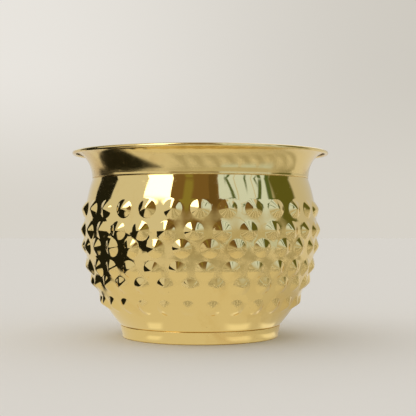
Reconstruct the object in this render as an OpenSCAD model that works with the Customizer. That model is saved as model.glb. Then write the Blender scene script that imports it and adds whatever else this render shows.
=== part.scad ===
// Brass planter pot: a spun belly bowl with rings of round bosses, a flared collar rolled over
// a steel wire, and a foot ring, all soldered together.
// Millimetres, +Z up. The origin is the middle of the circle that the foot stands on.

/* [Overall] */
// Outer diameter over the rolled rim
rim_d = 300; // [296:1:306]
// Height from the foot to the top of the rim
height = 216; // [213:1:220]
// Thickness of the brass sheet
sheet = 1; // [0.8:0.1:1.2]

/* [Belly] */
// Outer diameter at the widest point, between the bosses
belly_d = 273; // [270:1:276]
// Radius of the wall's curve, seen from the side
belly_curve = 169; // [165:1:173]
// Height of the widest point
belly_z = 127; // [125:1:129]
// Height of the bowl's floor above the ground
floor_z = 14; // [13:0.5:16]

/* [Bosses] */
// Bosses in each ring
ring_count = 29; // [24:1:30]
// Height of the top ring
top_ring_z = 148.5; // [147.5:0.5:149.5]
// Distance along the wall from the top ring to the first pair, and from pair to pair
wide_gap = 23.7; // [23.5:0.1:24]
// Distance along the wall between the two rings of a pair
near_gap = 18.7; // [18.5:0.1:19]
// Distance along the wall from the second pair to the lowest ring
low_gap = 26; // [25.5:0.1:26.5]
// Diameter of a boss where it leaves the wall
boss_d = 21; // [18:0.2:21.2]
// Height of a boss above the wall
boss_h = 4.1; // [3:0.1:4.5]

/* [Neck and collar] */
// Outer diameter of the collar at the neck
neck_d = 254; // [252:0.5:255]
// Height of the seam between the bowl and the collar
neck_z = 184.5; // [183:0.5:186]
// How far the bowl's lip reaches up inside the collar
lap = 6.5; // [5:0.5:8]

/* [Rim] */
// Diameter of the rolled bead
bead_d = 4.2; // [4:0.1:5]
// Diameter of the steel wire inside the bead
wire_d = 2.1; // [1.6:0.1:2.2]

/* [Foot ring] */
// Outer diameter of the foot where it meets the belly
foot_top_d = 187.4; // [186:0.2:188]
// Outer diameter of the foot just above its lower edge
foot_low_d = 183.2; // [182:0.2:184]
// Width of the flange soldered under the bowl
foot_flange = 8; // [6:0.5:10]
// Height of the turned-in hem at the lower edge
hem_h = 4; // [3:0.5:5]

/* [Hidden] */

BRASS = [0.84, 0.68, 0.36];
STEEL = [0.55, 0.56, 0.58];
SOLDER = [0.68, 0.69, 0.70];
ROUND = 240;
BOSS_ROUND = 48;
FAR = 400;
LAP_GAP = 0.05;
SOLDER_LEG = 2;

neck_r = neck_d / 2;
lip_out_r = neck_r - sheet - LAP_GAP;
lip_in_r = lip_out_r - sheet;
lip_top = neck_z + lap;

// The wall's curve is centred beyond the axis, so this radius is negative.
curve_r = belly_d / 2 - belly_curve;
top_angle = asin((top_ring_z - belly_z) / belly_curve);

bead_r = bead_d / 2;
bead_at = [rim_d / 2 - bead_r, height - bead_r];

// The collar's outline is a quarter ellipse from the neck to the underside of the bead.
flare_a = bead_at[0] - neck_r;
flare_b = height - sheet - neck_z;
FLARE_END = 78;
FLARE_STEPS = 12;

// Distance of each ring below the top one, along the wall.
RING_DOWN = [
    0,
    wide_gap,
    wide_gap + near_gap,
    2 * wide_gap + near_gap,
    2 * wide_gap + 2 * near_gap,
    2 * wide_gap + 2 * near_gap + low_gap
];
RINGS = len(RING_DOWN);

// Each ring is turned by this share of the step from boss to boss.
RING_TURN = [0, -0.23, 0.34, 0.16, -0.38, 0.5];
// The bosses of the lowest rings spread a little at the front and close up at the back, in degrees.
RING_SPREAD = [0, 0, 0, 0, 1, 2];

function arc_degrees(length) = length / belly_curve * 180 / PI;

// Slope of the wall at one ring.
function ring_angle(ring) = top_angle - arc_degrees(RING_DOWN[ring]);

// Angle of one boss round the pot, from the front.
function boss_turn(ring, i) =
    let (even = (i + RING_TURN[ring]) * 360 / ring_count)
    even + RING_SPREAD[ring] * sin(even);

// The wall is made of zones of spheres centred on the axis. Each touches the wall's curve at a slope.
// The slopes are chosen so that two zones meet between two rings, and never under a boss.
CLEAR_EDGE = 1.2;
boss_reach = arc_degrees(boss_d / 2 + CLEAR_EDGE);
pair_high = (ring_angle(1) + ring_angle(2)) / 2;
top_zone = ring_angle(0) + ring_angle(1) - pair_high;
pair_low = ring_angle(2) + ring_angle(3) - pair_high;
low_zone = ring_angle(4) + ring_angle(5) - pair_low;
shoulder = 2 * (ring_angle(0) + boss_reach) - top_zone;
heel = 2 * (ring_angle(5) - boss_reach) - low_zone;
ZONES = [shoulder + 6, shoulder, top_zone, pair_high, pair_low, low_zone, heel, heel - 6];
ZONE_OF_RING = [2, 3, 3, 4, 4, 5];

function zone_z(zone) = belly_z - curve_r * tan(ZONES[zone]);
function zone_r(zone) = belly_curve + curve_r / cos(ZONES[zone]);

// Slope at which a ring lies on its zone's sphere.
function boss_slope(ring) =
    let (a = ring_angle(ring))
    atan2(
        belly_z + belly_curve * sin(a) - zone_z(ZONE_OF_RING[ring]),
        curve_r + belly_curve * cos(a)
    );

// A boss is a cap of this radius, which is boss_d across where it leaves the wall.
function cap_r(ring) =
    let (r = zone_r(ZONE_OF_RING[ring]), half = boss_d / 2, rise = boss_h + r - sqrt(r * r - half * half))
    (half * half + rise * rise) / (2 * rise);

// Outline of the collar, a sheet's thickness inwards for the inside.
function flare_point(angle, inset) =
    let (n = [-cos(angle) / flare_a, sin(angle) / flare_b])
    [bead_at[0] - flare_a * cos(angle), neck_z + flare_b * sin(angle)] + inset * n / norm(n);

function flare_side(inset) =
    [for (i = [0:FLARE_STEPS]) flare_point(i * FLARE_END / FLARE_STEPS, inset)];

// Outer radius of the collar at a height above the neck.
function flare_r(z) = bead_at[0] - flare_a * sqrt(1 - pow((z - neck_z) / flare_b, 2));

// The belly's solid of revolution, shrunk by inset, between two heights.
module belly_body(inset, low, high) {
    rotate_extrude($fn = ROUND)
        intersection() {
            union()
                for (zone = [0:len(ZONES) - 1])
                    translate([0, zone_z(zone)])
                        circle(r = zone_r(zone) - inset, $fn = ROUND);
            translate([0, low])
                square([FAR, high - low]);
        }
}

// One sphere for every boss. Only its cap stands out of the belly, so its seam is turned inwards.
module boss_balls(inset) {
    for (ring = [0:RINGS - 1], i = [0:ring_count - 1])
        translate([0, 0, zone_z(ZONE_OF_RING[ring])])
            rotate([0, -boss_slope(ring), boss_turn(ring, i) - 90])
                translate([zone_r(ZONE_OF_RING[ring]) + boss_h - cap_r(ring), 0, 0])
                    rotate([0, 0, 180])
                        sphere(r = cap_r(ring) - inset, $fn = BOSS_ROUND);
}

// Spun from one sheet: closed floor, embossed belly, and a lip that goes up inside the collar.
module belly_bowl() {
    color(BRASS)
        difference() {
            union() {
                belly_body(0, floor_z, neck_z);
                boss_balls(0);
                translate([0, 0, neck_z - sheet])
                    cylinder(r = lip_out_r, h = sheet + lap, $fn = ROUND);
            }
            union() {
                belly_body(sheet, floor_z + sheet, neck_z - sheet);
                boss_balls(sheet);
                translate([0, 0, neck_z - 2 * sheet])
                    cylinder(r = lip_in_r, h = 3 * sheet + lap, $fn = ROUND);
            }
        }
}

// Flared collar whose upper edge is rolled round the wire.
module neck_collar() {
    inner = flare_side(sheet);
    last = len(inner) - 1;
    color(BRASS)
        rotate_extrude($fn = ROUND)
            difference() {
                union() {
                    polygon(concat(
                        flare_side(0),
                        [[bead_at[0] - bead_r * 0.7, height - sheet * 1.7]],
                        [[bead_at[0] - bead_r * 0.7, height - sheet * 0.75]],
                        [for (i = [last:-1:0]) inner[i]]
                    ));
                    translate(bead_at)
                        circle(r = bead_r, $fn = BOSS_ROUND);
                }
                translate(bead_at)
                    circle(r = bead_r - sheet, $fn = BOSS_ROUND);
            }
}

// Stiffening wire that the rim is rolled over.
module rim_wire() {
    color(STEEL)
        rotate_extrude($fn = ROUND)
            translate(bead_at)
                circle(r = wire_d / 2, $fn = BOSS_ROUND);
}

// Foot band with a flange under the bowl and a turned-in hem that the pot stands on.
module foot_ring() {
    top_r = foot_top_d / 2;
    low_r = foot_low_d / 2;
    edge = 0.6 * sheet;
    color(BRASS)
        rotate_extrude($fn = ROUND)
            polygon([
                [top_r - foot_flange, floor_z],
                [top_r - 0.3 * sheet, floor_z],
                [top_r, floor_z - 0.3 * sheet],
                [low_r, 2 * edge],
                [low_r - edge, 0],
                [low_r - 2 * sheet, 0],
                [low_r - 2.4 * sheet, edge],
                [low_r - 2.2 * sheet, hem_h],
                [low_r - sheet, hem_h + edge],
                [top_r - sheet, floor_z - sheet],
                [top_r - foot_flange, floor_z - sheet]
            ]);
}

// Solder fillet on the lip's upper edge, inside the collar.
module neck_solder() {
    color(SOLDER)
        rotate_extrude($fn = ROUND)
            polygon([
                [lip_in_r + 0.3 * sheet, lip_top],
                [flare_r(lip_top) - 1.1 * sheet, lip_top],
                [flare_r(lip_top + SOLDER_LEG) - 1.1 * sheet, lip_top + SOLDER_LEG]
            ]);
}

// Solder fillet between the foot's flange and the underside of the bowl.
module foot_solder() {
    flange_r = foot_top_d / 2 - foot_flange;
    color(SOLDER)
        rotate_extrude($fn = ROUND)
            polygon([
                [flange_r, floor_z],
                [flange_r, floor_z - 0.8 * sheet],
                [flange_r - SOLDER_LEG, floor_z]
            ]);
}

belly_bowl();
neck_collar();
rim_wire();
foot_ring();
neck_solder();
foot_solder();
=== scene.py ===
import math
import random

import bpy
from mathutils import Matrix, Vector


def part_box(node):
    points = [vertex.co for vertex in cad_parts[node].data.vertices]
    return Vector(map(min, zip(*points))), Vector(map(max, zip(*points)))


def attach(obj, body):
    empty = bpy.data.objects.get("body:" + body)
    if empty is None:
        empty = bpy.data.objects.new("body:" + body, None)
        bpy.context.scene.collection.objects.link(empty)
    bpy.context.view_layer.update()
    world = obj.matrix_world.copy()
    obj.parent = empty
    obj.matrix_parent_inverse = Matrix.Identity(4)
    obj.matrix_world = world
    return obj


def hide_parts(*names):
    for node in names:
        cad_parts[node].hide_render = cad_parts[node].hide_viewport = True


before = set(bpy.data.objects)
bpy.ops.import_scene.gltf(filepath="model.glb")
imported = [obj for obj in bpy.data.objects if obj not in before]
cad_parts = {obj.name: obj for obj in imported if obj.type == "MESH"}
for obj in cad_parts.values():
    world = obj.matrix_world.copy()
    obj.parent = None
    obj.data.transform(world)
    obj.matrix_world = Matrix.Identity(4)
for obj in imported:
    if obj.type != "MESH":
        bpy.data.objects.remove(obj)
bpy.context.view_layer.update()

MM = 0.001

# ---- sizes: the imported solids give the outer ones, and the pot's design gives the rest ----

RIM_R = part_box("neck_collar")[1].x
TOP_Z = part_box("neck_collar")[1].z
FOOT_TOP_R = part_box("foot_ring")[1].x
FOOT_TOP_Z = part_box("foot_ring")[1].z
LIP_TOP_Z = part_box("belly_bowl")[1].z
WIRE_R = (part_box("rim_wire")[1].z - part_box("rim_wire")[0].z) / 2

SHEET = 1.0 * MM
# The bowl's lip reaches this far up inside the collar.
LAP = 6.5 * MM
NECK_Z = LIP_TOP_Z - LAP
NECK_R = 127.0 * MM
LIP_R = NECK_R - SHEET - 0.05 * MM
BEAD_R = 2.1 * MM
BEAD_X = RIM_R - BEAD_R
BEAD_Z = TOP_Z - BEAD_R

FOOT_LOW_R = FOOT_TOP_R - 2.1 * MM
FOOT_FLANGE = 8 * MM
HEM_H = 4 * MM

# The belly's wall, seen from the side, is one arc about a point beyond the axis.
CURVE_R = 169.0 * MM
CURVE_X = -32.5 * MM
BELLY_Z = 127.0 * MM
FLOOR_Z = FOOT_TOP_Z

# Bosses in each of the six rings.
RING_COUNT = 29
STEP = math.tau / RING_COUNT
TOP_RING_Z = 148.5 * MM
TOP_RING_SLOPE = math.asin((TOP_RING_Z - BELLY_Z) / CURVE_R)
# Distances along the wall: to each pair of rings, between the rings of a pair, and to the lowest ring.
WIDE_GAP = 23.7 * MM
NEAR_GAP = 18.7 * MM
LOW_GAP = 26 * MM
# Distance of each ring below the top one, along the wall.
RING_DOWN = (
    0,
    WIDE_GAP,
    WIDE_GAP + NEAR_GAP,
    2 * WIDE_GAP + NEAR_GAP,
    2 * WIDE_GAP + 2 * NEAR_GAP,
    2 * WIDE_GAP + 2 * NEAR_GAP + LOW_GAP,
)
# Each ring is turned by this share of the step from boss to boss.
RING_TURNS = (0, -0.23, 0.34, 0.16, -0.38, 0.5)
# The bosses of the lowest rings spread a little at the front and close up at the back.
RING_SPREAD = (0, 0, 0, 0, math.radians(1), math.radians(2))
BOSS_H = 4.15 * MM
# Half of a boss's size, round the pot and up the wall.
BOSS_WIDE = 10.7 * MM
BOSS_TALL = 10.5 * MM
# Corners round the edge of a boss, and the radius of its tile where a boss has a radius of one.
BOSS_EDGE = 20
TILE_R = 1.03
# The slopes of the wall that the bosses lie between.
EMBOSSED_TOP = math.radians(11.8)
EMBOSSED_LOW = math.radians(-34.8)

# Corners round the plain pieces, and round the bowl.
ROUND = 8 * RING_COUNT
BOWL_ROUND = 6 * RING_COUNT
# Radius of the flat blank at the belly's widest point. It shrinks and grows evenly from there.
BLANK_R = 130 * MM
# Points nearer to each other than this are one point.
SAME_PLACE = 0.002 * MM


# ---- modelling by hand ----

def fresh():
    """Leaves nothing selected, so that an operator acts only on what is made next."""
    if bpy.context.object and bpy.context.object.mode != "OBJECT":
        bpy.ops.object.mode_set(mode="OBJECT")
    bpy.ops.object.select_all(action="DESELECT")


def next_loop(here, there):
    """Extrudes the selected loop from one (radius, height) to the next, about the pot's axis."""
    rise = there[1] - here[1]
    bpy.ops.mesh.extrude_region_move(TRANSFORM_OT_translate={"value": (0, 0, rise)})
    if there[0] == 0:
        bpy.ops.mesh.merge(type="CENTER")
    elif there[0] != here[0]:
        grow = there[0] / here[0]
        bpy.ops.transform.resize(value=(grow, grow, 1), center_override=(0, 0, 0))


def turned(name, outline):
    """A spun or turned skin: a circle of edges drawn up through an outline of (radius, height)."""
    fresh()
    radius, height = outline[0]
    bpy.ops.mesh.primitive_circle_add(vertices=ROUND, radius=radius, location=(0, 0, height))
    piece = bpy.context.object
    piece.name = name
    bpy.ops.object.transform_apply(location=True)
    bpy.ops.object.mode_set(mode="EDIT")
    bpy.ops.mesh.select_all(action="SELECT")
    for here, there in zip(outline, outline[1:]):
        next_loop(here, there)
    bpy.ops.object.mode_set(mode="OBJECT")
    return piece


def close_round(piece):
    """Joins an outline's last loop to its first, for a skin that closes on itself."""
    take(piece)
    bpy.ops.object.mode_set(mode="EDIT")
    bpy.ops.mesh.select_all(action="SELECT")
    bpy.ops.mesh.remove_doubles(threshold=SAME_PLACE)
    bpy.ops.object.mode_set(mode="OBJECT")


def take(piece):
    """Makes a piece the only one selected, and the active one."""
    fresh()
    piece.select_set(True)
    bpy.context.view_layer.objects.active = piece


def outwards(piece):
    """Turns every face of a piece to point out of the metal, or out of the pot."""
    take(piece)
    bpy.ops.object.mode_set(mode="EDIT")
    bpy.ops.mesh.select_all(action="SELECT")
    bpy.ops.mesh.normals_make_consistent(inside=False)
    bpy.ops.object.mode_set(mode="OBJECT")


def sheeted(piece, inside=0):
    """Gives a skin the thickness of its sheet, behind its faces. inside numbers the inner wall's material."""
    outwards(piece)
    wall = piece.modifiers.new("sheet", "SOLIDIFY")
    wall.thickness = SHEET
    wall.offset = -1
    wall.use_quality_normals = True
    wall.material_offset = inside
    bpy.ops.object.modifier_apply(modifier=wall.name)


def finished(piece, node, material):
    """Shades a piece smooth, gives it its material if it has none, and puts it in the place of its solid."""
    take(piece)
    bpy.ops.object.shade_smooth()
    if not piece.data.materials:
        piece.data.materials.append(material)
    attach(piece, "root")
    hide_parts(node)


def arc(middle, radius, start, end, steps):
    """Points (radius, height) of a round stretch of an outline, angles in degrees."""
    out = []
    for k in range(steps + 1):
        a = math.radians(start + (end - start) * k / steps)
        out.append((middle[0] + radius * math.cos(a), middle[1] + radius * math.sin(a)))
    return out


# ---- the belly bowl ----

def ring_slope(ring):
    """Slope of the wall at the middle of a ring."""
    return TOP_RING_SLOPE - RING_DOWN[ring] / CURVE_R


def wall_outline(slope, lift=0):
    """Radius and height of the wall at a slope, raised outwards by lift."""
    reach = CURVE_R + lift
    return (CURVE_X + reach * math.cos(slope), BELLY_Z + reach * math.sin(slope))


def blank_radius(slope):
    """Where a slope of the wall lies on the flat round blank that the bowl is spun from."""
    return BLANK_R * math.exp(CURVE_R * slope / BLANK_R)


def boss_rise(share):
    """Height of a boss at a share of its radius: a blunt cone with a rounded tip and a crisp foot."""
    tip = 0.20
    foot = 0.03
    cone = (math.hypot(1, tip) - math.hypot(share, tip)) / (math.hypot(1, tip) - tip)
    return BOSS_H * (cone + math.hypot(cone, foot)) / 2


def boss_tile():
    """One boss, one unit in radius, with a narrow rim of flat sheet round it."""
    shares = (0.995, 0.95, 0.87, 0.74, 0.59, 0.44, 0.29, 0.15)
    fresh()
    bpy.ops.mesh.primitive_circle_add(vertices=BOSS_EDGE, radius=TILE_R)
    tile = bpy.context.object
    tile.name = "boss_tile"
    bpy.ops.object.mode_set(mode="EDIT")
    bpy.ops.mesh.select_all(action="SELECT")
    here = (TILE_R, 0)
    for share in shares:
        there = (share, boss_rise(share))
        next_loop(here, there)
        here = there
    next_loop(here, (0, BOSS_H))
    bpy.ops.object.mode_set(mode="OBJECT")
    return tile


def off_place(hand):
    """How far the punch strays to either side of its place."""
    return hand.uniform(-0.15, 0.15) * MM


def set_on_blank(tile, ring, number, hand):
    """Sets a tile on the blank as one boss of a ring, a little uneven, as the punch leaves it."""
    slope = ring_slope(ring)
    wall_r = wall_outline(slope)[0]
    turn = STEP * (number + RING_TURNS[ring])
    turn += RING_SPREAD[ring] * math.sin(turn) + off_place(hand) / wall_r
    slope += off_place(hand) / CURVE_R
    width = BOSS_WIDE * (wall_r / (CURVE_X + CURVE_R)) ** 0.5 * hand.uniform(0.985, 1.01)
    height = BOSS_TALL * hand.uniform(0.985, 1.005)
    push = hand.uniform(0.93, 1.0)
    for v in tile.data.vertices:
        x, y, lift = v.co
        around = turn + x * width / wall_r
        rho = blank_radius(slope + y * height / CURVE_R)
        v.co = (rho * math.sin(around), -rho * math.cos(around), lift * push)


def spun_up(piece):
    """Brings the embossed blank up onto the belly's wall."""
    for v in piece.data.vertices:
        x, y, lift = v.co
        rho = math.hypot(x, y)
        radius, height = wall_outline(math.log(rho / BLANK_R) * BLANK_R / CURVE_R, lift)
        v.co = (radius * x / rho, radius * y / rho, height)


def select_loop(piece, height):
    """Selects the open loop of edges at a height, in edit mode."""
    near = 0.05 * MM
    bpy.ops.mesh.select_all(action="DESELECT")
    bpy.ops.object.mode_set(mode="OBJECT")
    for e in piece.data.edges:
        a, b = (piece.data.vertices[i].co.z for i in e.vertices)
        e.select = abs(a - height) < near and abs(b - height) < near
    bpy.ops.object.mode_set(mode="EDIT")


def embossed_blank():
    """The flat sheet of the embossed wall, with every boss in it and the metal between them filled in."""
    hand = random.Random(7)
    pattern = boss_tile()
    parts = []
    for ring in range(len(RING_TURNS)):
        for number in range(RING_COUNT):
            tile = pattern.copy()
            tile.data = pattern.data.copy()
            bpy.context.collection.objects.link(tile)
            set_on_blank(tile, ring, number, hand)
            parts.append(tile)
    bpy.data.objects.remove(pattern)
    for slope in (EMBOSSED_TOP, EMBOSSED_LOW):
        fresh()
        bpy.ops.mesh.primitive_circle_add(vertices=BOWL_ROUND, radius=blank_radius(slope))
        parts.append(bpy.context.object)
    fresh()
    for part in parts:
        part.select_set(True)
    bpy.context.view_layer.objects.active = parts[0]
    bpy.ops.object.join()
    blank = bpy.context.object

    bpy.ops.object.mode_set(mode="EDIT")
    bpy.ops.mesh.select_mode(type="EDGE")
    bpy.ops.mesh.select_all(action="DESELECT")
    bpy.ops.mesh.select_non_manifold(extend=False, use_wire=True, use_boundary=True)
    bpy.ops.mesh.fill(use_beauty=True)
    bpy.ops.mesh.subdivide(number_cuts=1)
    bpy.ops.object.mode_set(mode="OBJECT")
    return blank


def draw_on(piece, outline):
    """Draws a piece on from its open loop at the outline's first height, in edit mode."""
    select_loop(piece, outline[0][1])
    for here, there in zip(outline, outline[1:]):
        next_loop(here, there)


def shoulder_and_lip():
    """Outline from the embossed wall up over the shoulder to the neck, and up the lip."""
    bend = 0.5 * MM
    top = EMBOSSED_TOP
    shoulder = math.asin((NECK_Z - bend - BELLY_Z) / CURVE_R)
    out = [wall_outline(top + (shoulder - top) * k / 6) for k in range(7)]
    out += arc((out[-1][0] - bend, NECK_Z - bend), bend, 20, 90, 3)
    out += [(LIP_R + 0.2 * MM, NECK_Z), (LIP_R, NECK_Z + 0.3 * MM)]
    out += [(LIP_R, NECK_Z + LAP * 0.5), (LIP_R, LIP_TOP_Z)]
    return out


def heel_and_floor():
    """Outline from the embossed wall down to the heel, and across the flat floor to its middle."""
    low = EMBOSSED_LOW
    heel = math.asin((FLOOR_Z + 0.2 * MM - BELLY_Z) / CURVE_R)
    out = [wall_outline(low + (heel - low) * k / 5) for k in range(6)]
    heel_r = out[-1][0]
    out += [(heel_r - 0.25 * MM, FLOOR_Z + 0.05 * MM), (heel_r - 1.2 * MM, FLOOR_Z)]
    out += [(heel_r * share, FLOOR_Z) for share in (0.94, 0.75, 0.5, 0.2)] + [(0, FLOOR_Z)]
    return out


def belly_bowl(material, inside):
    """The embossed wall spun up from its blank, then the plain metal above and below drawn from its edges."""
    bowl = embossed_blank()
    bowl.name = "embossed_bowl"
    spun_up(bowl)

    take(bowl)
    bpy.ops.object.mode_set(mode="EDIT")
    bpy.ops.mesh.select_mode(type="EDGE")
    draw_on(bowl, shoulder_and_lip())
    draw_on(bowl, heel_and_floor())
    bpy.ops.object.mode_set(mode="OBJECT")

    bowl.data.materials.append(material)
    bowl.data.materials.append(inside)
    sheeted(bowl, inside=1)
    finished(bowl, "belly_bowl", material)


# ---- the collar, the wire and the foot ring ----

def flare(angle, inset):
    """A point of the collar's flare, a quarter ellipse from the neck to the bead, inset into the pot."""
    wide = BEAD_X - NECK_R
    tall = TOP_Z - SHEET - NECK_Z
    a = math.radians(angle)
    nx = -math.cos(a) / wide
    nz = math.sin(a) / tall
    size = math.hypot(nx, nz)
    radius = BEAD_X - wide * math.cos(a) + inset * nx / size
    height = NECK_Z + tall * math.sin(a) + inset * nz / size
    return (radius, height)


def neck_collar(material):
    """The collar's inner skin, drawn up the flare and rolled round the wire, then given its sheet."""
    seam = NECK_Z + 0.2 * MM
    skin = [(NECK_R - SHEET + 0.25 * MM, seam), (NECK_R - SHEET - 0.12 * MM, seam + 1.4 * MM)]
    skin += [flare(a, SHEET) for a in range(7, 90, 4)]
    skin += arc((BEAD_X, BEAD_Z), BEAD_R, 90, -165, 22)
    collar = turned("flared_collar", skin)
    sheeted(collar)
    finished(collar, "neck_collar", material)


def rim_wire(material):
    """Drawn steel wire, closed in a ring inside the bead."""
    ring = arc((BEAD_X, BEAD_Z), WIRE_R, 0, 360, 16)
    wire = turned("rim_wire_ring", ring)
    close_round(wire)
    outwards(wire)
    finished(wire, "rim_wire", material)


def foot_ring(material):
    """The foot's band: flange, wall, rounded lower edge and the hem turned up inside it."""
    top = FOOT_TOP_Z
    low_r = FOOT_LOW_R
    flange_r = FOOT_TOP_R - FOOT_FLANGE
    edge = 0.3 * MM
    outer_bend = 1.1 * MM
    inner_bend = 0.9 * MM
    section = [(flange_r, top - SHEET), (flange_r, top), (FOOT_TOP_R - 1.0 * MM, top)]
    section += arc((FOOT_TOP_R - edge, top - edge), edge, 85, 0, 5)
    section += [(FOOT_TOP_R - 0.9 * MM, top * 0.55), (low_r + 0.1 * MM, top * 0.3)]
    section += arc((low_r - outer_bend, outer_bend), outer_bend, 0, -90, 6)
    section += arc((low_r - 1.3 * MM, inner_bend), inner_bend, -90, -180, 5)
    section += [(low_r - 2.2 * MM, HEM_H), (low_r - 1.6 * MM, HEM_H + 0.6 * MM)]
    section += [(low_r - SHEET, HEM_H + 0.7 * MM)]
    section += [(FOOT_TOP_R - 1.9 * MM, top * 0.6), (FOOT_TOP_R - 1.3 * MM, top - 1.8 * MM)]
    section += [(FOOT_TOP_R - 2.0 * MM, top - SHEET), (flange_r, top - SHEET)]
    foot = turned("foot_band", section)
    close_round(foot)
    outwards(foot)
    finished(foot, "foot_ring", material)


# ---- finishes ----

def new_material(name):
    material = bpy.data.materials.new(name)
    material.use_nodes = True
    tree = material.node_tree
    return material, tree, tree.nodes["Principled BSDF"]


def node(tree, kind, **settings):
    """Adds a node. Settings name its properties, or its inputs when they start with a capital."""
    made = tree.nodes.new(kind)
    for key, value in settings.items():
        if key[0].isupper():
            made.inputs[key.replace("_", " ")].default_value = value
        else:
            setattr(made, key, value)
    return made


def group(name, inputs, outputs):
    """An empty node group with named number inputs and named outputs."""
    tree = bpy.data.node_groups.new(name, "ShaderNodeTree")
    for label, value in inputs.items():
        socket = tree.interface.new_socket(label, in_out="INPUT", socket_type="NodeSocketFloat")
        socket.default_value = value
    for label, kind in outputs.items():
        tree.interface.new_socket(label, in_out="OUTPUT", socket_type=kind)
    return tree, tree.nodes.new("NodeGroupInput"), tree.nodes.new("NodeGroupOutput")


def placed(tree, made, sizes):
    """Places a group in a material's tree, with those of the sizes that it has an input for."""
    use = tree.nodes.new("ShaderNodeGroup")
    use.node_tree = made
    for key, value in sizes.items():
        label = key.replace("_", " ")
        if label in use.inputs:
            use.inputs[label].default_value = value
    return use


def turning_lines():
    """Fine rings round the pot's axis, as the spinning tool leaves them, fading in and out along the way."""
    tree, given, out = group(
        "turning_lines",
        {"Lines per metre": 900, "Patchiness": 0.6},
        {"Height": "NodeSocketFloat"},
    )
    link = tree.links.new
    place = node(tree, "ShaderNodeTexCoord")
    split = node(tree, "ShaderNodeSeparateXYZ")
    flat = node(tree, "ShaderNodeVectorMath", operation="MULTIPLY")
    flat.inputs[1].default_value = (1, 1, 0)
    radius = node(tree, "ShaderNodeVectorMath", operation="LENGTH")
    across = node(tree, "ShaderNodeCombineXYZ")
    spaced = node(tree, "ShaderNodeVectorMath", operation="SCALE")
    rings = node(tree, "ShaderNodeTexNoise", noise_dimensions="2D", Scale=1.0, Detail=3.0, Roughness=0.6)
    patch = node(tree, "ShaderNodeTexNoise", Scale=22.0, Detail=2.0)
    fade = node(tree, "ShaderNodeMapRange", From_Min=0.35, From_Max=0.65, To_Max=1.0)
    floor_level = node(tree, "ShaderNodeMath", operation="SUBTRACT")
    floor_level.inputs[0].default_value = 1
    height = node(tree, "ShaderNodeMath", operation="MULTIPLY")
    link(place.outputs["Object"], split.inputs[0])
    link(place.outputs["Object"], flat.inputs[0])
    link(flat.outputs[0], radius.inputs[0])
    link(radius.outputs["Value"], across.inputs["X"])
    link(split.outputs["Z"], across.inputs["Y"])
    link(across.outputs[0], spaced.inputs[0])
    link(given.outputs["Lines per metre"], spaced.inputs["Scale"])
    link(spaced.outputs[0], rings.inputs["Vector"])
    link(place.outputs["Object"], patch.inputs["Vector"])
    link(patch.outputs["Fac"], fade.inputs["Value"])
    link(given.outputs["Patchiness"], floor_level.inputs[1])
    link(floor_level.outputs[0], fade.inputs["To Min"])
    link(rings.outputs["Fac"], height.inputs[0])
    link(fade.outputs[0], height.inputs[1])
    link(height.outputs[0], out.inputs["Height"])
    return tree


def handling():
    """What making and handling leave on polished metal: soft waves, dull smears and hairline scratches."""
    tree, given, out = group(
        "handling",
        {"Smear size": 30, "Scratch size": 260, "Wave size": 34},
        {"Smears": "NodeSocketFloat", "Scratches": "NodeSocketFloat", "Waves": "NodeSocketFloat"},
    )
    link = tree.links.new
    place = node(tree, "ShaderNodeTexCoord")
    smear = node(tree, "ShaderNodeTexNoise", Detail=5.0, Roughness=0.62, Distortion=0.7)
    soft = node(tree, "ShaderNodeMapRange", From_Min=0.42, From_Max=0.72, interpolation_type="SMOOTHSTEP")
    link(place.outputs["Object"], smear.inputs["Vector"])
    link(given.outputs["Smear size"], smear.inputs["Scale"])
    link(smear.outputs["Fac"], soft.inputs["Value"])
    link(soft.outputs[0], out.inputs["Smears"])
    wave = node(tree, "ShaderNodeTexNoise", Detail=1.0, Roughness=0.4)
    link(place.outputs["Object"], wave.inputs["Vector"])
    link(given.outputs["Wave size"], wave.inputs["Scale"])
    link(wave.outputs["Fac"], out.inputs["Waves"])
    drawn = []
    for turn in ((0.5, 0.3, 0.9), (-0.7, 0.2, 2.3)):
        lay = node(tree, "ShaderNodeMapping", Rotation=turn, Scale=(1.0, 0.04, 1.0))
        hair = node(tree, "ShaderNodeTexNoise", Detail=1.0)
        thin = node(tree, "ShaderNodeMapRange", From_Min=0.70, From_Max=0.78)
        link(place.outputs["Object"], lay.inputs["Vector"])
        link(lay.outputs[0], hair.inputs["Vector"])
        link(given.outputs["Scratch size"], hair.inputs["Scale"])
        link(hair.outputs["Fac"], thin.inputs["Value"])
        drawn.append(thin)
    both = node(tree, "ShaderNodeMath", operation="MAXIMUM")
    link(drawn[0].outputs[0], both.inputs[0])
    link(drawn[1].outputs[0], both.inputs[1])
    link(both.outputs[0], out.inputs["Scratches"])
    return tree


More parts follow.
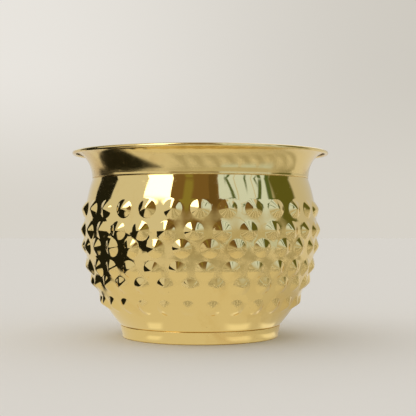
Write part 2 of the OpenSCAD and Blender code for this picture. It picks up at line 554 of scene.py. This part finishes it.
def tarnish():
    """Where the metal has begun to brown: soft clouds, and small dark specks."""
    tree, given, out = group(
        "tarnish",
        {"Cloud size": 14, "Speck size": 150, "Spread": 0.5},
        {"Clouds": "NodeSocketFloat", "Specks": "NodeSocketFloat"},
    )
    link = tree.links.new
    place = node(tree, "ShaderNodeTexCoord")
    cloud = node(tree, "ShaderNodeTexNoise", Detail=6.0, Roughness=0.6, Distortion=0.4)
    start = node(tree, "ShaderNodeMath", operation="SUBTRACT")
    start.inputs[0].default_value = 0.95
    soft = node(tree, "ShaderNodeMapRange", From_Max=0.70, interpolation_type="SMOOTHSTEP")
    speck = node(tree, "ShaderNodeTexVoronoi", feature="F1")
    dot = node(tree, "ShaderNodeMapRange", From_Min=0.05, From_Max=0.13, To_Min=1.0, To_Max=0.0)
    thin = node(tree, "ShaderNodeTexNoise", Scale=38.0, Detail=2.0)
    few = node(tree, "ShaderNodeMapRange", From_Min=0.60, From_Max=0.66)
    some = node(tree, "ShaderNodeMath", operation="MULTIPLY")
    for texture in (cloud, speck, thin):
        link(place.outputs["Object"], texture.inputs["Vector"])
    link(given.outputs["Cloud size"], cloud.inputs["Scale"])
    link(given.outputs["Speck size"], speck.inputs["Scale"])
    link(given.outputs["Spread"], start.inputs[1])
    link(start.outputs[0], soft.inputs["From Min"])
    link(cloud.outputs["Fac"], soft.inputs["Value"])
    link(speck.outputs["Distance"], dot.inputs["Value"])
    link(thin.outputs["Fac"], few.inputs["Value"])
    link(dot.outputs[0], some.inputs[0])
    link(few.outputs[0], some.inputs[1])
    link(soft.outputs[0], out.inputs["Clouds"])
    link(some.outputs[0], out.inputs["Specks"])
    return tree


def blend_colour(tree, share, first, second):
    """A colour that goes from first to second with a share. Each is a colour or another node's output."""
    mix = node(tree, "ShaderNodeMix", data_type="RGBA")
    tree.links.new(share, mix.inputs[0])
    for socket, colour in ((mix.inputs[6], first), (mix.inputs[7], second)):
        if isinstance(colour, tuple):
            socket.default_value = (*colour, 1)
        else:
            tree.links.new(colour, socket)
    return mix.outputs[2]


def weighted_sum(tree, start, parts):
    """start plus each value times its weight."""
    total = None
    for value, weight in parts:
        add = node(tree, "ShaderNodeMath", operation="MULTIPLY_ADD")
        tree.links.new(value, add.inputs[0])
        add.inputs[1].default_value = weight
        if total is None:
            add.inputs[2].default_value = start
        else:
            tree.links.new(total, add.inputs[2])
        total = add.outputs[0]
    return total


TURNING_LINES = turning_lines()
HANDLING = handling()
TARNISH = tarnish()


def marked_metal(name, colours, roughness, relief, **sizes):
    """
    A worn metal. colours: clean, browned and specked. roughness: base, then what smears, scratches,
    clouds and specks add. relief in mm: turning lines, waves and scratches. sizes go to the shared marks.
    """
    material, tree, shader = new_material(name)
    link = tree.links.new
    rings = placed(tree, TURNING_LINES, sizes)
    wear = placed(tree, HANDLING, sizes)
    age = placed(tree, TARNISH, sizes)
    clean, clouded, specked = colours
    cloudy = blend_colour(tree, age.outputs["Clouds"], clean, clouded)
    link(blend_colour(tree, age.outputs["Specks"], cloudy, specked), shader.inputs["Base Color"])
    base, smears, scratches, clouds, specks = roughness
    link(weighted_sum(tree, base, (
        (wear.outputs["Smears"], smears),
        (wear.outputs["Scratches"], scratches),
        (age.outputs["Clouds"], clouds),
        (age.outputs["Specks"], specks),
    )), shader.inputs["Roughness"])
    lines, waves, cuts = relief
    bump = node(tree, "ShaderNodeBump", Strength=1.0, Distance=MM)
    link(weighted_sum(tree, 0.0, (
        (rings.outputs["Height"], lines),
        (wear.outputs["Waves"], waves),
        (wear.outputs["Scratches"], -cuts),
    )), bump.inputs["Height"])
    link(bump.outputs[0], shader.inputs["Normal"])
    shader.inputs["Metallic"].default_value = 1
    return material


# ---- the pot ----

GOLD = (0.92, 0.72, 0.31)
GOLD_WARM = (0.78, 0.54, 0.20)
GOLD_BROWN = (0.40, 0.26, 0.10)
# Clean, browned and specked colours of each finish.
POLISHED_BELLY = (GOLD, (0.86, 0.64, 0.25), GOLD_BROWN)
POLISHED_BRASS = (GOLD, GOLD_WARM, GOLD_BROWN)
DULL_BRASS = ((0.62, 0.43, 0.17), (0.36, 0.24, 0.11), (0.15, 0.10, 0.06))
STEEL = ((0.50, 0.50, 0.52), (0.36, 0.34, 0.33), (0.20, 0.13, 0.09))
SOFT_SOLDER = ((0.56, 0.56, 0.57), (0.38, 0.38, 0.38), (0.20, 0.20, 0.20))

belly_bowl(
    marked_metal(
        "belly_brass", POLISHED_BELLY,
        (0.03, 0.05, 0.10, 0.05, 0.30), (0.010, 0.22, 0.003),
        Lines_per_metre=500, Spread=0.42,
    ),
    marked_metal(
        "belly_inside", DULL_BRASS,
        (0.24, 0.15, 0.05, 0.18, 0.25), (0.030, 0.25, 0.004),
        Lines_per_metre=700, Spread=0.62, Cloud_size=24, Speck_size=110,
    ),
)
neck_collar(marked_metal(
    "collar_brass", POLISHED_BRASS,
    (0.09, 0.08, 0.12, 0.12, 0.30), (0.022, 0.15, 0.004),
    Lines_per_metre=900, Spread=0.50, Smear_size=22,
))
foot_ring(marked_metal(
    "foot_brass", POLISHED_BRASS,
    (0.12, 0.08, 0.12, 0.10, 0.30), (0.030, 0.12, 0.004),
    Lines_per_metre=1100, Spread=0.48,
))
rim_wire(marked_metal(
    "wire_steel", STEEL,
    (0.32, 0.10, 0.08, 0.2, 0.2), (0.010, 0.02, 0.004),
    Lines_per_metre=2500, Patchiness=0.9, Smear_size=160, Cloud_size=90,
))
solder = marked_metal(
    "solder", SOFT_SOLDER,
    (0.36, 0.12, 0.05, 0.2, 0.2), (0.05, 0.35, 0.01),
    Lines_per_metre=700, Patchiness=0.9, Smear_size=160, Cloud_size=90, Wave_size=260,
)
for name in ("neck_solder", "foot_solder"):
    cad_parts[name].data.materials.clear()
    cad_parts[name].data.materials.append(solder)

# ---- the studio: floor, unseen cards, light and camera ----

DAYLIGHT = (1.0, 0.98, 0.94)
SKY = (0.62, 0.77, 1.08)
DARK = (0.03, 0.03, 0.02)
BROWN_ROOM = (0.30, 0.19, 0.07)
DARK_BROWN_ROOM = (0.22, 0.14, 0.05)
PALE_GROUND = (0.50, 0.47, 0.38)
LIT_GROUND = (0.76, 0.70, 0.57)
LEAF = (0.10, 0.15, 0.05)
PANES = 3


def soft_edge(tree, axis, width):
    """A share that rises from 0 at two opposite edges of a card to 1 at a width from them."""
    place = node(tree, "ShaderNodeTexCoord")
    split = node(tree, "ShaderNodeSeparateXYZ")
    tree.links.new(place.outputs["UV"], split.inputs[0])
    folded = node(tree, "ShaderNodeMath", operation="PINGPONG")
    folded.inputs[1].default_value = 0.5
    tree.links.new(split.outputs[axis], folded.inputs[0])
    rise = node(tree, "ShaderNodeMapRange", From_Max=width, interpolation_type="SMOOTHSTEP")
    tree.links.new(folded.outputs[0], rise.inputs["Value"])
    return rise.outputs[0]


def unseen_card(name, corners, colour, strength, soft=(0.04, 0.04)):
    """A card of light, or a dark flag, that shows only in the metal's reflections. Its edges are soft."""
    fresh()
    bpy.ops.mesh.primitive_plane_add(size=2)
    made = bpy.context.object
    made.name = name
    for v, corner in zip(made.data.vertices, corners):
        v.co = corner
    material = bpy.data.materials.new(name)
    material.use_nodes = True
    tree = material.node_tree
    tree.nodes.clear()
    light = node(tree, "ShaderNodeEmission", Color=(*colour, 1), Strength=strength)
    clear = node(tree, "ShaderNodeBsdfTransparent")
    share = node(tree, "ShaderNodeMath", operation="MULTIPLY")
    tree.links.new(soft_edge(tree, "X", soft[0]), share.inputs[0])
    tree.links.new(soft_edge(tree, "Y", soft[1]), share.inputs[1])
    mix = node(tree, "ShaderNodeMixShader")
    tree.links.new(share.outputs[0], mix.inputs[0])
    tree.links.new(clear.outputs[0], mix.inputs[1])
    tree.links.new(light.outputs[0], mix.inputs[2])
    end = node(tree, "ShaderNodeOutputMaterial")
    tree.links.new(mix.outputs[0], end.inputs["Surface"])
    made.data.materials.append(material)
    made.visible_camera = False
    made.visible_shadow = False
    made.visible_diffuse = False


def toward(azimuth, distance, height):
    """The place at a distance from the pot's axis, in degrees round from the front to the right."""
    a = math.radians(azimuth)
    return (distance * math.sin(a), -distance * math.cos(a), height)


def upright_card(name, azimuth, elevation, colour, strength, distance=1.6, lean=0, soft=(0.04, 0.04)):
    """A standing card. Its ranges are degrees round and up from the belly. Its top may lean to one side."""
    corners = []
    for e, shift in zip(elevation, (0, lean)):
        for a in azimuth:
            corners.append(toward(a + shift, distance, BELLY_Z + distance * math.tan(math.radians(e))))
    unseen_card(name, corners, colour, strength, soft)


def ground_card(name, azimuth, reach, height, colour, strength, soft):
    """A card that lies just above the floor. Its ranges are degrees round and distance from the axis."""
    corners = [toward(a, r, height) for r in reach for a in azimuth]
    unseen_card(name, corners, colour, strength, soft)


def studio_floor():
    """The plain pale floor."""
    fresh()
    bpy.ops.mesh.primitive_plane_add(size=12)
    floor = bpy.context.object
    floor.name = "studio_floor"
    white, tree, shader = new_material("floor_white")
    shader.inputs["Base Color"].default_value = (0.80, 0.78, 0.745, 1)
    shader.inputs["Roughness"].default_value = 0.9
    shader.inputs["Specular IOR Level"].default_value = 0
    floor.data.materials.append(white)


def pane(k):
    """Where one pane of the right window stands, in degrees round."""
    return (18 + 19 * k, 36.4 + 19 * k)


def room_in_front():
    """A bright window on the left, a paler one in three panes on the right, and the dim room between them."""
    upright_card("window_left", (-57, -29), (18, 68), DAYLIGHT, 3.2, soft=(0.03, 0.05))
    for k in range(PANES):
        upright_card(f"window_right_{k}", pane(k), (-4, 64), SKY, 1.05, soft=(0.02, 0.05))
    upright_card("room_middle", (-31, 19), (-4, 78), BROWN_ROOM, 0.62, 1.75, soft=(0.03, 0.04))
    upright_card("room_dark", (4, 18), (-9, 60), DARK_BROWN_ROOM, 0.62, 1.65, soft=(0.2, 0.1))
    # Behind them all, where the room meets the floor.
    upright_card("room_low", (-34, 92), (-18, 9), PALE_GROUND, 1.0, 1.85, soft=(0.25, 0.45))


def plants():
    """The plants before the windows: two broad patches of green, and six narrow leaning leaves."""
    upright_card("leaf_streak", (-20, -8), (7, 40), (0.34, 0.30, 0.08), 0.75, 1.55, 3, soft=(0.3, 0.25))
    upright_card("leaf_right", (74, 108), (-8, 44), (0.17, 0.18, 0.04), 0.65, soft=(0.15, 0.2))
    # Left, right, low and high edge of each leaf, and how far its top leans, in degrees.
    leaves = (
        (24, 27, 30, 62, 9),
        (33, 37, 12, 40, -8),
        (45, 48, 22, 60, 10),
        (52, 58, 10, 34, 12),
        (60, 63, 24, 58, -9),
        (66, 74, 9, 38, 6),
    )
    for k, (left, right, low, high, lean) in enumerate(leaves):
        upright_card(f"leaf_{k}", (left, right), (low, high), LEAF, 0.9, 1.4, lean, soft=(0.3, 0.2))


def room_behind():
    """Two windows with dim room between them behind the pot, and a dark flag on the left."""
    upright_card("window_back", (152, 173), (16, 60), DAYLIGHT, 1.6)
    upright_card("room_back", (173, 196), (3, 66), (0.30, 0.22, 0.12), 0.7, 1.7)
    upright_card("window_back_far", (196, 214), (12, 56), (0.80, 0.90, 1.0), 1.1)
    upright_card("flag_left", (-127, -97), (-6, 52), DARK, 0.5)


def ground():
    """What the pot's lower half mirrors. Each layer lies at its own height, so that none meet."""
    # The dark floor beyond the left edge of what the pot stands on.
    edge = [(-0.15, 0.13), (-0.50, -0.72), (-2.6, 1.2), (-2.0, -0.6)]
    unseen_card("flag_low", [(x, y, 2.4 * MM) for x, y in edge], DARK, 0.5, soft=(0.02, 0.03))
    # The lit ground close to the foot, darker on the right.
    step = 15
    for k in range(360 // step):
        sector = (step * k - 7.6, step * k + 7.6)
        shade = 0.91 * (1 - 0.26 * max(0, math.sin(math.radians(step * k - 25))))
        ground_card(f"near_ground_{k}", sector, (0.02, 0.27), 1 * MM, LIT_GROUND, shade, (0.001, 0.27))
    # The darker floor farther off, in overlapping sectors.
    for k in range(9):
        sector = (step * k - 48, step * k - 8)
        layer = (1.2 + 0.1 * k) * MM
        ground_card(f"far_floor_{k}", sector, (0.19, 2.4), layer, PALE_GROUND, 0.84, (0.5, 0.07))
    # The windows' shine on the far floor, and their sheen beside the foot.
    for k in range(PANES):
        ground_card(f"floor_shine_{k}", pane(k), (0.42, 2.2), 2.3 * MM, (0.60, 0.70, 0.82), 0.92, (0.06, 0.2))
    for name, left, right in (("sheen_left", -47, -28), ("sheen_right", 16, 44), ("sheen_far", 48, 82)):
        ground_card(name, (left, right), (0.0935, 0.110), 2.2 * MM, (0.98, 0.93, 0.80), 0.92, (0.3, 0.4))


def soft_top_light():
    """A broad light from above, which the metal doesn't mirror."""
    sun = bpy.data.objects.new("soft_top_light", bpy.data.lights.new("soft_top_light", "SUN"))
    bpy.context.collection.objects.link(sun)
    sun.data.energy = 0.8
    sun.data.angle = math.radians(100)
    sun.data.color = (1.0, 0.97, 0.92)
    sun.rotation_euler = (math.radians(-12), math.radians(-18), 0)
    sun.visible_glossy = False


def surroundings():
    """The light all round, dimmer on the right. The camera sees a wall instead, with painted shade that makes
    it darker towards the right, and darker towards the horizon, where it takes the floor's tone.
    """
    world = bpy.data.worlds.new("studio")
    bpy.context.scene.world = world
    world.use_nodes = True
    tree = world.node_tree
    tree.nodes.clear()
    link = tree.links.new
    place = node(tree, "ShaderNodeTexCoord")
    split = node(tree, "ShaderNodeSeparateXYZ")
    link(place.outputs["Generated"], split.inputs[0])
    height = node(tree, "ShaderNodeMapRange", From_Min=0.0, From_Max=0.16, interpolation_type="SMOOTHSTEP")
    link(split.outputs["Z"], height.inputs["Value"])
    across = node(tree, "ShaderNodeMapRange", From_Min=-0.22, From_Max=0.25, interpolation_type="SMOOTHSTEP")
    link(split.outputs["X"], across.inputs["Value"])
    # Painted shade: the wall that the camera sees goes darker from left to right.
    wall = blend_colour(tree, across.outputs[0], (0.81, 0.78, 0.73), (0.62, 0.59, 0.53))
    seen = node(tree, "ShaderNodeBackground", Strength=1.0)
    link(blend_colour(tree, height.outputs[0], (0.68, 0.645, 0.58), wall), seen.inputs["Color"])
    around = node(tree, "ShaderNodeBackground", Strength=0.67)
    light = blend_colour(tree, across.outputs[0], (1.0, 0.99, 0.97), (0.86, 0.84, 0.80))
    link(light, around.inputs["Color"])
    path = node(tree, "ShaderNodeLightPath")
    either = node(tree, "ShaderNodeMixShader")
    link(path.outputs["Is Camera Ray"], either.inputs[0])
    link(around.outputs[0], either.inputs[1])
    link(seen.outputs[0], either.inputs[2])
    out = node(tree, "ShaderNodeOutputWorld")
    link(either.outputs[0], out.inputs["Surface"])


def front_camera():
    """The camera, just above the belly's widest point and a little over a metre in front."""
    camera = bpy.data.objects.new("camera", bpy.data.cameras.new("camera"))
    bpy.context.collection.objects.link(camera)
    camera.location = (0, -1.137, 0.1362)
    camera.rotation_euler = (math.radians(90.71), 0, math.radians(-0.453))
    camera.data.sensor_width = 36
    camera.data.lens = 83.25
    camera.data.clip_end = 50
    bpy.context.scene.camera = camera


studio_floor()
room_in_front()
plants()
room_behind()
ground()
soft_top_light()
surroundings()
# The standard view transform keeps the brass's colour as deep as its material gives it.
bpy.context.scene.view_settings.view_transform = "Standard"
front_camera()
